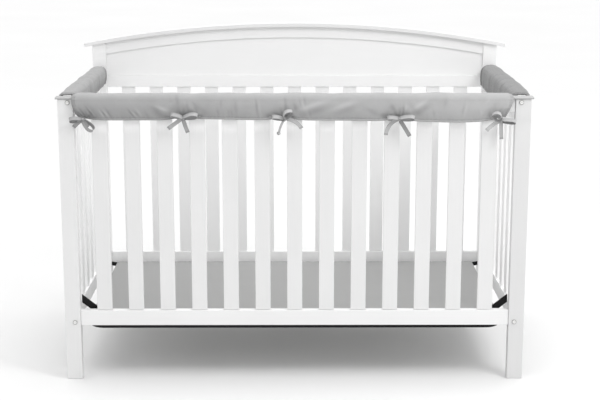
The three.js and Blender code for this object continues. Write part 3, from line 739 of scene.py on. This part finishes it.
# Covers.
def eased(rows, column, at):
    """A table's column at each place along a cover, eased from row to row."""
    places = np.array([row["at"] for row in rows])
    values = np.array([row[column] for row in rows])
    before = np.clip(np.searchsorted(places, at, side="right") - 1, 0, len(places) - 2)
    share = np.clip((at - places[before]) / (places[before + 1] - places[before]), 0, 1)
    return values[before] + (values[before + 1] - values[before]) * ease(share)


def creased(creases, at, side, down):
    """The height of all creases and ridges at each place of a cover's outer face."""
    height = 0.0
    for row in creases:
        fallen = down - row["down"]
        lean = math.hypot(1, row["slope"])
        aside = (at - row["at"] - row["slope"] * fallen) / lean
        along = (fallen + row["slope"] * (at - row["at"])) / lean
        here = bell(aside / row["width"]) * bell(along / row["length"])
        height = height - row["depth"] * here * (side == row["side"])
    return height


def gathered(ties, at, from_edge):
    """The height of the gathers that fan out above each knot."""
    height = 0.0
    for tie in ties:
        for row in tie["gathers"]:
            angle = math.radians(row["angle"])
            aside = at - tie["x"]
            along = aside * math.sin(angle) + from_edge * math.cos(angle)
            across = aside * math.cos(angle) - from_edge * math.sin(angle)
            width = GATHER_FAN["width"] + GATHER_FAN["spread"] * np.abs(along)
            fade = bell((along - GATHER_FAN["peak"]) / GATHER_FAN["fade"]) * (along > 0)
            height = height - row["depth"] * fade * bell(across / width)
    return height


def sewn(at, from_edge, from_end, around):
    """The hems' stitched grooves, puckers and rolls, and the slow unevenness of the whole cloth."""
    height = HEM_ROLL["height"] * bell((from_edge - HEM_ROLL["place"]) / HEM_ROLL["width"])
    height = height - END_STEP["height"] * (0.5 - 0.5 * np.tanh((from_end - END_HEM) / END_STEP["slope"]))
    for aside, run in ((from_edge - HEM, at), (from_end - END_HEM, around)):
        height = height - SEAM["dip"] * bell(aside / SEAM["width"])
        near = bell(aside / PUCKER_REACH)
        for row in PUCKERS:
            height = height + near * row["height"] * np.sin(2 * math.pi * run / row["length"] + row["start"])
    for row in WAVES:
        turn = 2 * math.pi * at / row["length"] + row["start"]
        height = height + row["height"] * np.sin(turn + row["lean"] * around / WAVE_DROP)
    return height


def painted_hem_light(rows, aside):
    """How much lighter or darker the cloth is painted at each distance from an edge, as painted shade and
    light.
    """
    return sum(row["tone"] * bell((aside - row["place"]) / row["width"]) for row in rows)


def cover_points(cover, at, ring, lift=0.0):
    """Points of a cover in its own frame, how far each is around it, and its tone of painted shade and light.

    `at` is a column of places. A ring's columns are the side of the rail, the share of the way to the hem
    zone, the share of the hem zone, and the turn about the lower edge, from 0 on the outer face to pi inside.
    """
    side, share, hem, bend = ring
    corner = cover["corner"]
    flat = cover["half_width"] - corner
    arc = math.pi / 2 * corner
    rim = np.where(side < 0, eased(cover["edges"], "minus", at), eased(cover["edges"], "plus", at))
    fall = cover["top"] - corner - rim
    whole = flat + arc + fall
    round_edge = CLOTH / 2
    reach = share * (whole - round_edge - HEM_ZONE) + hem * HEM_ZONE + round_edge * np.sin(bend)
    from_end = np.minimum(at - cover["low"], cover["high"] - at)
    thin = np.sqrt(np.clip(1 - (1 - np.minimum(from_end / round_edge, 1)) ** 2, 0, 1))
    depth = round_edge - round_edge * np.cos(bend) * thin - lift
    turn = np.clip((reach - flat) / corner, 0, math.pi / 2)
    hang = np.clip((reach - flat - arc) / fall, 0, None)
    down = reach - flat

    offset = cover["crown"] * np.cos(reach / whole * math.pi / 2) + cover["bulge"] * np.sin(math.pi * hang)
    offset = offset - (cover["tuck"] - cover["open"] * (side < 0)) * hang**2
    height = cover["top"] - corner * (1 - np.cos(turn)) - hang * fall
    for tie in cover["ties"]:
        near = bell((at - tie["x"]) / TIE_PULL["spread"])
        offset = offset - tie["pull"] * near * hang ** TIE_PULL["power"]
        height = height + tie["lift"] * near * hang
    for fold in cover["folds"]:
        rise = hang - fold["hang"]
        aside = (at - fold["at"] - fold["slant"] * rise) / fold["width"]
        here = bell(aside) * bell(rise / fold["reach"])
        offset = offset - fold["depth"] * here * (side == fold["side"])
    outer = np.cos(bend / 2) ** 2
    creases = creased(cover["creases"], at, side, down) + gathered(cover["ties"], at, whole - reach)
    offset = offset + outer * (creases + sewn(at, whole - reach, from_end, side * reach))
    # Painted shade and light: creases darker and ridges lighter, a drift lighter towards +X and darker
    # downwards, and light and dark bands at the hems and ends.
    painted_shading = cover["tone"]
    drift = painted_shading["along"] * at * np.clip(down / PAINTED_LIGHT_DRIFT["full"], PAINTED_LIGHT_DRIFT["least"], 1) + painted_shading["down"] * hang
    tone = 0.5 * np.tanh(creases / painted_shading["crease"]) + drift
    tone = tone + painted_hem_light(HEM_PAINTED_LIGHT_AND_SHADE, whole - reach) + painted_shading["end"] * painted_hem_light(END_PAINTED_SHADE, from_end)
    front_end = cover["front_end"]
    from_far = at - cover["low"] if front_end > 0 else cover["high"] - at
    flare = np.clip(1 - from_far / FLARE["reach"], 0, 1) ** FLARE["power"]
    inner = np.sin(turn) * (side < 0)
    # Painted shade on the inner face of a trumpet's rim.
    tone = tone - FLARE["dark"] * (cover["trumpet"] > 0) * flare * inner
    fold = np.clip(0.5 + outer * tone, 0, 1)

    end_curl = cover["end_curl"]
    curl = np.clip(1 - from_end / end_curl["reach"], 0, 1) ** 2
    offset = offset - curl * (end_curl["top"] + (end_curl["flap"] - end_curl["top"]) * turn / (math.pi / 2))

    along = (at - cover["low"]) / (cover["high"] - cover["low"])
    near_end = {-1: (1 - along) ** END_POWER, 1: along**END_POWER}
    near_front = near_end[front_end]
    pinch = cover["pinch"] * near_front * np.sin(turn) * (side > 0)
    across = np.minimum(reach, flat) + np.sin(turn) * (corner + offset - depth) - pinch
    across = across + cover["trumpet"] * inner * (flare - near_end[-front_end])
    height = height - cover["drop"] * near_front
    shift = cover["skew"] * front_end * near_front * side * across / cover["half_width"]
    shift = shift + cover["lip"] * front_end * near_front * np.cos(turn) ** 2
    for row in cover["ends"]:
        drawn = row["drawn_in"] * hang ** row["power"] * near_end[row["end"]]
        shift = shift - row["end"] * drawn * (side == row["side"])
    points = np.stack([at + shift, side * across, height + np.cos(turn) * (offset - depth)], axis=-1)
    return points, side * reach, fold


def cover_ring(cover):
    """The columns of a cover's ring: its outer face from the plus edge to the minus one, then back inside."""
    length = cover["top"] - MESH["lower_edge"] + cover["half_width"]
    body = np.linspace(0, 1, math.ceil(length / MESH["down"]))
    hem = np.linspace(0, 1, 12)[1:]
    edge = np.radians((30, 60))
    flap = [(place, 0, 0) for place in body]
    flap += [(1, place, 0) for place in hem]
    flap += [(1, 1, turn) for turn in edge]
    half = [(1, *columns) for columns in reversed(flap)] + [(-1, *columns) for columns in flap[1:]]
    inner = [(side, share, place, math.pi - turn) for side, share, place, turn in reversed(half)]
    return np.array(half + inner).T


def cover_places(cover, step):
    """Places along a cover, closer together over each end's hem and rounded edge."""
    near_end = np.concatenate([[0.0003, 0.0012], np.linspace(0.0025, HEM_ZONE, 11)])
    middle = cover["high"] - cover["low"] - 2 * HEM_ZONE
    inside = HEM_ZONE + np.linspace(0, middle, math.ceil(middle / step))[1:-1]
    from_high = cover["high"] - near_end[::-1]
    return np.concatenate([cover["low"] + near_end, cover["low"] + inside, from_high])[:, None]


def stitch_parts(cover, place):
    """Running stitches along a cover's two lower hems and both of its end hems."""
    hem_share = (HEM_ZONE - HEM + CLOTH / 2) / HEM_ZONE
    from_end = STITCH_LINE["from_end"]
    span = np.arange(cover["low"] + from_end, cover["high"] - from_end, STITCH["pitch"])
    lines = [(span[:, None], np.array([[side], [1], [hem_share], [0]])) for side in (-1, 1)]
    around = np.arange(-STITCH_LINE["last"], STITCH_LINE["last"], STITCH["pitch"] / STITCH_LINE["flap"])
    ring = np.array([np.sign(around), np.abs(around), 0 * around, 0 * around])
    lines += [(np.array([[end]]), ring) for end in (cover["low"] + END_HEM, cover["high"] - END_HEM)]
    for at, ring in lines:
        middle = place(cover_points(cover, at, ring, STITCH["radius"] * 0.4)[0].reshape(-1, 3))
        raised = place(cover_points(cover, at, ring, 0.001)[0].reshape(-1, 3))
        yield stitches(middle, raised)


def stitches(middle, raised):
    """A short thread at each point of a row, with its ends sunk in the cloth."""
    ahead = unit(np.gradient(middle, axis=0))
    up = unit(raised - middle)
    aside = np.cross(ahead, up)
    angle = 2 * math.pi * np.arange(STITCH["sides"]) / STITCH["sides"]
    rings = []
    for step, size, sink in ((-0.5, 0.5, 0.8), (-0.34, 1.0, 0.0), (0.34, 1.0, 0.0), (0.5, 0.5, 0.8)):
        centre = middle + ahead * (step * STITCH["length"]) - up * (sink * STITCH["radius"])
        spoke = up[:, None] * np.cos(angle)[:, None] + aside[:, None] * np.sin(angle)[:, None]
        rings.append(centre[:, None] + spoke * (size * STITCH["radius"]))
    points = np.stack(rings, axis=1)
    count, steps, sides = points.shape[:3]
    start = np.array([[0, 1, 2, 3], [0, 3, 4, 5]])
    end = start[:, ::-1] + (steps - 1) * sides
    one = np.concatenate([tube(steps, sides), start, end])
    faces = (np.arange(count)[:, None, None] * steps * sides + one).reshape(-1, 4)
    grid = np.stack(np.meshgrid(np.arange(sides), np.arange(steps)), axis=-1)
    uv = np.tile(grid.reshape(-1, 2) * 0.0004, (count, 1))
    return points.reshape(-1, 3), faces, uv, 0.5


def add_cover(side, cover, place, step, material):
    name = f"{side}_rail_cloth"
    points, around, fold = cover_points(cover, cover_places(cover, step), cover_ring(cover))
    rings = place(points.reshape(-1, 3)).reshape(points.shape)
    skin, faces = loft(rings)
    uv = np.stack([points[..., 0].ravel(), around.ravel()], axis=-1)
    cloth = piece(name, [(skin, faces, uv, fold.ravel())], material, [f"{side}_cover"])
    sewing = piece(name + "_stitches", list(stitch_parts(cover, place)), THREAD)
    return cloth, sewing


def over_front(points):
    return points + (0, FRONT + RAIL_CENTRE, 0)


def over_left(points):
    at, across, height = points.T
    return np.stack([-SIDE_CENTRE - across, FRONT + at, height], axis=-1)


def over_right(points):
    at, across, height = points.T
    return np.stack([SIDE_CENTRE + across, FRONT - at, height], axis=-1)


# Ties.
def ribbon_frame(angle, lean, roll):
    """The directions of a ribbon at an angle: outwards, aside in its own plane, and across its face."""
    angle, lean, roll = np.radians((angle, lean, roll))
    out = np.array([np.cos(angle) * np.cos(lean), -np.sin(lean), np.sin(angle) * np.cos(lean)])
    upright = np.array([-np.sin(angle), 0, np.cos(angle)])
    aside = unit(np.cross(out, upright)) * np.cos(roll) + upright * np.sin(roll)
    return out, aside, np.cross(out, aside)


def ribbon(points, across, from_knot, tone, from_tip=None):
    """A strip of ribbon with a beaded selvage, drawn in and cupped towards the knot, hemmed at a free tip."""
    points = np.array(points)
    tangent = np.gradient(points, axis=0)
    normal = unit(np.cross(tangent, across))
    width = unit(np.cross(normal, tangent))

    open_out = ease(np.clip(np.array(from_knot) / RIBBON["gather"], 0, 1))
    half = RIBBON["width"] / 2 * (RIBBON["waist"] + (1 - RIBBON["waist"]) * open_out)
    cup = RIBBON["cup"] * (1 + 2.2 * (1 - open_out))
    thick = np.full(len(points), RIBBON["thickness"] / 2)
    if from_tip is not None:
        thick = thick * (1 + 0.5 * (np.array(from_tip) < RIBBON["end_hem"]))

    angle = around_ring(RIBBON["sides"])
    wide, deep = (np.sign(part) * np.abs(part) ** 0.5 for part in (np.cos(angle), np.sin(angle)))
    bead = SELVAGE["flat"] + SELVAGE["bead"] * bell((np.abs(wide) - SELVAGE["place"]) / SELVAGE["width"])
    aside = half[:, None] * wide
    inward = thick[:, None] * deep * bead - cup[:, None] * wide**2
    rings = points[:, None] + width[:, None] * aside[..., None] + normal[:, None] * inward[..., None]
    skin, faces = loft(rings)
    run = np.concatenate([[0], np.cumsum(np.linalg.norm(np.diff(points, axis=0), axis=1))])
    uv = np.stack(np.broadcast_arrays(run[:, None], aside), axis=-1).reshape(-1, 2)
    # Painted shade: darker at the edges and the waist, on a loop's inner face and at a hemmed tip.
    fold = RIBBON_TONE["plain"] + tone - RIBBON_PAINTED_SHADE["edge"] * np.abs(wide) ** 8
    fold = fold - RIBBON_PAINTED_SHADE["waist"] * (1 - open_out)[:, None]
    if from_tip is None:
        fold = fold - RIBBON_PAINTED_SHADE["inner"] * (deep > 0)
    else:
        tip = (np.array(from_tip)[:, None] - RIBBON["end_hem"]) / RIBBON_TONE["tip_width"]
        fold = fold - RIBBON_PAINTED_SHADE["tip"] * bell(tip)
    return skin, faces, uv, np.clip(fold, 0, 1).ravel()


def tie_loop(row):
    out, aside, across = ribbon_frame(row["angle"], row["lean"], row["roll"])
    turn = np.linspace(0, math.pi, 49)
    belly = row["belly"] * np.sin(2 * turn) + RIBBON["thickness"] * np.cos(turn)
    points = np.outer(row["length"] * np.sin(turn), out) + np.outer(belly, aside)
    points[:, 1] -= row["bow"] * 4 * np.sin(turn) * (1 - np.sin(turn))
    return ribbon(points, np.tile(across, (len(turn), 1)), row["length"] * np.sin(turn), row["tone"])


def tie_tail(row):
    """A tail's ribbon, and the small knot at its tip where it has one."""
    steps = 36
    points, widths = [np.zeros(3)], []
    for step in range(steps + 1):
        out, aside, across = ribbon_frame(row["angle"] + row["bend"] * step / steps, row["lean"], row["roll"])
        widths.append(across)
        if step < steps:
            points.append(points[-1] + out * (row["length"] / steps))
    run = np.linspace(0, row["length"], steps + 1)
    yield ribbon(points, np.array(widths), run, row["tone"], row["length"] - run)
    if row["knot"]:
        skin, *rest = tie_knot(row["knot"])
        yield skin + points[-1], *rest


def tie_strap(tie):
    """The part of a tie that runs under the rail, from the knot to the back flap's lower edge."""
    edge = FRONT_COVER["half_width"] - FRONT_COVER["tuck"] - tie["pull"] - CLOTH / 2
    rim = float(eased(FRONT_COVER["edges"], "plus", np.array(tie["x"])))
    rim += tie["lift"] - RIBBON["thickness"] / 2 - tie["z"]
    side = tie["strap"] - tie["x"]
    rail = RAIL_CENTRE - KNOT_DEPTH
    corners = [
        (0, 0, -0.003),
        (side / 2, 0.008, -0.008),
        (side, rail, -0.011),
        (side, rail + edge - 0.002, rim - 0.005),
        (side, rail + edge, rim - 0.001),
    ]
    points = smooth_path(np.array(corners), 12)
    run = np.linalg.norm(points, axis=1)
    return ribbon(points, np.tile((1.0, 0.0, 0.0), (len(points), 1)), run, 0.0)


def smooth_path(corners, steps):
    """Points on a smooth curve through the corners."""
    padded = np.concatenate([[2 * corners[0] - corners[1]], corners, [2 * corners[-1] - corners[-2]]])
    share = np.linspace(0, 1, steps, endpoint=False)[:, None]
    points = []
    for a, b, c, d in zip(padded, padded[1:], padded[2:], padded[3:]):
        curve = 2 * b + (c - a) * share + (2 * a - 5 * b + 4 * c - d) * share**2
        points.append((curve + (3 * b - a - 3 * c + d) * share**3) / 2)
    return np.concatenate([*points, corners[-1:]])


def tie_knot(size):
    """A pleated ball where the ribbons cross."""
    rings, sides = 21, 30
    turn = around_ring(sides)
    lift = np.linspace(0.04, math.pi - 0.04, rings)[:, None]
    wave = np.cos(KNOT["pleats"] * turn + KNOT["twist"] * np.cos(lift))
    pleat = 1 + KNOT["pleat_depth"] * wave * np.sin(lift) ** 2
    radius = size * (pleat - KNOT["pleat_depth"] / 2)
    sphere = np.stack(
        np.broadcast_arrays(np.sin(lift) * np.cos(turn), np.sin(lift) * np.sin(turn), np.cos(lift)), axis=-1
    )
    skin, faces = loft(sphere * radius[..., None] * KNOT["squash"])
    uv = np.stack(np.broadcast_arrays(turn * size, lift * size), axis=-1)
    # Painted shade and light: darker than plain cloth, darker in the pleats' hollows and lighter on their
    # crests.
    fold = KNOT["tone"] + KNOT["pleat_tone"] * (pleat - 1) / KNOT["pleat_depth"]
    return skin, faces, uv.reshape(-1, 2), np.broadcast_to(fold, sphere.shape[:2]).ravel()


def add_tie(number, tie):
    parts = [tie_knot(KNOT["radius"]), tie_strap(tie), *map(tie_loop, tie["loops"])]
    for row in tie["tails"]:
        parts += tie_tail(row)
    home = np.array((tie["x"], FRONT + KNOT_DEPTH, tie["z"]))
    placed = [(points + home, *rest) for points, *rest in parts]
    return piece(f"bow_{number}", placed, RIBBON_CLOTH, [f"tie_{number}"])


# The crib.
def grain_axis(name):
    low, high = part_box(name)
    return "XYZ"[int(np.argmax(np.array(high) - np.array(low)))]


EDGE_ROUND = dict(wood=0.0015, metal=0.0008)  # the board's edges are as sharp as the metal's


def soften(made, width):
    """Rounds a CAD node's sharp edges, as paint and sanding do."""
    weld = made.modifiers.new("weld", "WELD")
    weld.merge_threshold = 0.00002
    rounding = made.modifiers.new("rounding", "BEVEL")
    rounding.width = width
    rounding.segments = 3
    rounding.limit_method = "ANGLE"
    rounding.angle_limit = math.radians(35)
    rounding.harden_normals = True


def dress_crib():
    steel = ("mattress_support", "hanger")
    other = ("bolt", "front_cover", "left_cover", "right_cover", "tie")
    for name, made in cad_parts.items():
        if name.startswith(other):
            continue
        width = EDGE_ROUND["metal"]
        if name.startswith(steel):
            material = STEEL
        elif name == "support_board":
            material = BOARD_LAMINATE
        else:
            material = paint_for(name)
            width = EDGE_ROUND["wood"]
        made.data.materials.clear()
        made.data.materials.append(material)
        soften(made, width)


BOLT_SOCKET = 0.0025  # the profile's inner points, up to this radius, are the hexagon's
BOLT_PROFILE = table(
    "radius height",
    (0.0000, -0.0006),
    (0.0020, -0.0006),
    (0.0023, 0.0014),
    (0.0030, 0.0019),
    (0.0046, 0.0019),
    (0.0058, 0.0015),
    (0.0066, 0.0008),
    (0.0070, 0.0002),
    (0.0070, -0.0010),
    (0.0000, -0.0010),
)


def add_bolt(number):
    """A low domed bolt head with a hexagon socket, its axis along Y."""
    low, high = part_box(f"bolt_{number}")
    middle = (np.array(low) + np.array(high)) / 2
    sides = 48
    turn = around_ring(sides)
    hexagon = math.cos(math.pi / 6) / np.cos((turn % (math.pi / 3)) - math.pi / 6)
    rings = []
    for row in BOLT_PROFILE:
        socket = hexagon if 0 < row["radius"] < BOLT_SOCKET else 1.0
        radius = max(row["radius"], 0.00002) * socket * np.ones(sides)
        depth = np.full(sides, -row["height"])
        rings.append(np.stack([radius * np.cos(turn), depth, radius * np.sin(turn)], axis=-1))
    skin, faces = loft(np.array(rings))
    uv = np.stack([np.hypot(skin[:, 0], skin[:, 2]), np.tile(turn, len(rings)) * 0.007], axis=-1)
    head = [(skin + middle, faces, uv, 0.5)]
    bolt = piece(f"bolt_head_{number}", head, CAPPED_BOLT, [f"bolt_{number}"])
    bolt.data.set_sharp_from_angle(angle=math.radians(35))


# Floor, light and camera.
def add_floor():
    mesh = bpy.data.meshes.new("floor")
    size = 40.0
    corners = [(-size, -size, 0), (size, -size, 0), (size, size, 0), (-size, size, 0)]
    mesh.from_pydata(corners, [], [(0, 1, 2, 3)])
    mesh.materials.append(floor_material())
    floor = add_object("floor", mesh)
    floor.location.z = -0.0004


def add_light(name, location, target, size, energy):
    data = bpy.data.lights.new(name, "AREA")
    data.size = size
    data.energy = energy
    light = add_object(name, data)
    light.location = location
    light.rotation_euler = (Vector(target) - Vector(location)).to_track_quat("-Z", "Y").to_euler()


SKY = dict(horizon=0.60, zenith=2.00)
KEY_LAMP = dict(location=(2.0, -1.9, 3.0), target=(0.3, -0.2, 0.8), size=1.0, energy=34.0)


def add_studio():
    """A white tent of light, brighter overhead, with one soft lamp on the right."""
    world = bpy.data.worlds.new("studio")
    world.use_nodes = True
    direction = node(world, "TexCoord").outputs["Generated"]
    height = node(world, "SeparateXYZ", {"Vector": direction}).outputs["Z"]
    rise = maths(world, "MULTIPLY", height, height)
    inputs = {"Value": rise, "To Min": SKY["horizon"], "To Max": SKY["zenith"]}
    strength = node(world, "MapRange", inputs).outputs["Result"]
    fill(world, world.node_tree.nodes["Background"], {"Color": (1, 1, 1, 1), "Strength": strength})
    bpy.context.scene.world = world
    bpy.context.scene.view_settings.view_transform = "Standard"
    add_light("key", **KEY_LAMP)


CAMERA = dict(back=3.985, height=1.425, tilt=12.15, turn=-0.2315, lens=81.07)


def add_camera():
    data = bpy.data.cameras.new("camera")
    data.lens = CAMERA["lens"]
    data.sensor_width = 36.0
    camera = add_object("camera", data)
    camera.location = (0.0, FRONT - CAMERA["back"], CAMERA["height"])
    camera.rotation_euler = (math.radians(90 - CAMERA["tilt"]), 0.0, math.radians(CAMERA["turn"]))
    bpy.context.scene.camera = camera


add_camera()
add_floor()
add_studio()
dress_crib()
for bolt_number in range(1, 5):
    add_bolt(bolt_number)
front, front_sewing = add_cover("front", FRONT_COVER, over_front, MESH["front_along"], COVER_CLOTH)
left, left_sewing = add_cover("left", LEFT_COVER, over_left, MESH["side_along"], LEFT_SHADED_CLOTH)
right, right_sewing = add_cover("right", RIGHT_COVER, over_right, MESH["side_along"], RIGHT_SHADED_CLOTH)
bows = [add_tie(number, tie) for number, tie in enumerate(TIES, start=1)]

bpy.context.view_layer.update()
